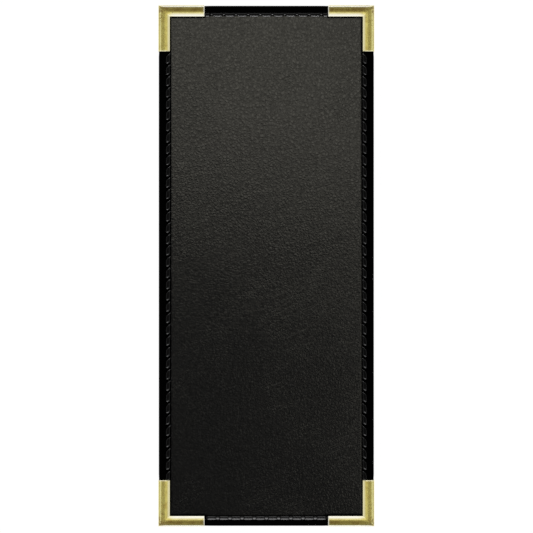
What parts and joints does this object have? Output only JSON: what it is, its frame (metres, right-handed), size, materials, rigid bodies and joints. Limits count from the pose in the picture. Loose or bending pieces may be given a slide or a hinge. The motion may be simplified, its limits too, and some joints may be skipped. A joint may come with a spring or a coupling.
{
  "type": "menu cover",
  "caption": "Slim single-panel menu cover: leatherette face, sewn edge binding, folded brass corners and a clear card pocket on the back.",
  "frame": {"origin": "on the table, under the centre of the cover, which lies on its back", "axes": "+Z out of the leatherette front, +Y towards the top edge of the front, +X to the right as the front is seen"},
  "size_m": [0.1214, 0.2928, 0.0064],
  "materials": {
    "leatherette": "fine pebbled grain, semi-matte black",
    "tape": "plain matte black binding tape",
    "thread": "black twisted polyester thread, slight sheen",
    "brass": "lightly aged polished brass, pale rims",
    "board": "grey chipboard",
    "lining": "smooth matte black lining",
    "film": "clear flexible film"
  },
  "bodies": {
    "root": {"front_skin": "leatherette", "core_board": "board", "back_lining": "lining", "window_film": "film", "edge_tape_left": "tape", "seam_front_left": "thread", "seam_back_left": "thread", "edge_tape_right": "tape", "seam_front_right": "thread", "seam_back_right": "thread", "edge_tape_top": "tape", "seam_front_top": "thread", "seam_back_top": "thread", "edge_tape_bottom": "tape", "seam_front_bottom": "thread", "seam_back_bottom": "thread", "corner_top_left": "brass", "corner_top_right": "brass", "corner_bottom_left": "brass", "corner_bottom_right": "brass"}
  },
  "joints": []
}
